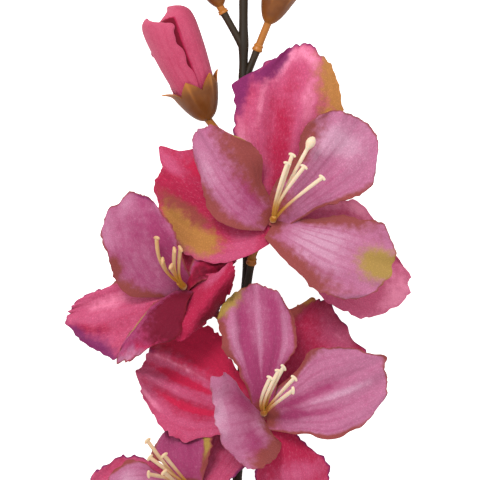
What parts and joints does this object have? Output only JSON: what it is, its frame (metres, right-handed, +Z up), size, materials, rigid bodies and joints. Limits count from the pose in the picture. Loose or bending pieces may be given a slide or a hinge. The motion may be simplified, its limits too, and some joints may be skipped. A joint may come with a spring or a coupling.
{
  "type": "gladiolus stem",
  "caption": "Cut stem of artificial gladiolus lying on its back: open silk blooms in mauve and deep pink with stamens, and wrapped buds in amber calyces on a slim dark stem.",
  "frame": {"origin": "middle of the part's footprint, on the surface that the stem lies on", "axes": "+Y along the stem from its cut foot to the tip of the spike, +X to the right seen from above, +Z up, the way the blooms face"},
  "size_m": [0.1468, 0.6002, 0.0562],
  "materials": {
    "deep_pink_silk": "satin woven polyester, deep pink, dyed",
    "mauve_silk": "satin woven polyester, mauve, dyed",
    "cream_plastic": "soft cream plastic",
    "amber_plastic": "amber-brown soft plastic",
    "dark_stem_plastic": "dark brown-olive satin plastic"
  },
  "bodies": {
    "root": {"bloom_a_calyx": "amber_plastic", "bloom_a_inner_tepals": "mauve_silk", "bloom_a_outer_tepals": "deep_pink_silk", "bloom_a_stamens": "cream_plastic", "bloom_b_calyx": "amber_plastic", "bloom_b_inner_tepals": "mauve_silk", "bloom_b_outer_tepals": "deep_pink_silk", "bloom_b_stamens": "cream_plastic", "bloom_c_calyx": "amber_plastic", "bloom_c_inner_tepals": "mauve_silk", "bloom_c_outer_tepals": "deep_pink_silk", "bloom_c_stamens": "cream_plastic", "bloom_d_calyx": "amber_plastic", "bloom_d_inner_tepals": "mauve_silk", "bloom_d_outer_tepals": "deep_pink_silk", "bloom_d_stamens": "cream_plastic", "bloom_e_calyx": "amber_plastic", "bloom_e_inner_tepals": "mauve_silk", "bloom_e_outer_tepals": "deep_pink_silk", "bloom_e_stamens": "cream_plastic", "bud_1_calyx": "amber_plastic", "bud_1_tepals": "deep_pink_silk", "bud_2_calyx": "amber_plastic", "bud_2_tepals": "deep_pink_silk", "bud_3_calyx": "amber_plastic", "bud_3_tepals": "deep_pink_silk", "bud_4_calyx": "amber_plastic", "bud_4_tepals": "deep_pink_silk", "bud_5_calyx": "amber_plastic", "bud_5_tepals": "deep_pink_silk", "bud_6_calyx": "amber_plastic", "bud_6_tepals": "deep_pink_silk", "bud_7_calyx": "amber_plastic", "bud_7_tepals": "deep_pink_silk", "stem": "dark_stem_plastic"}
  },
  "joints": []
}
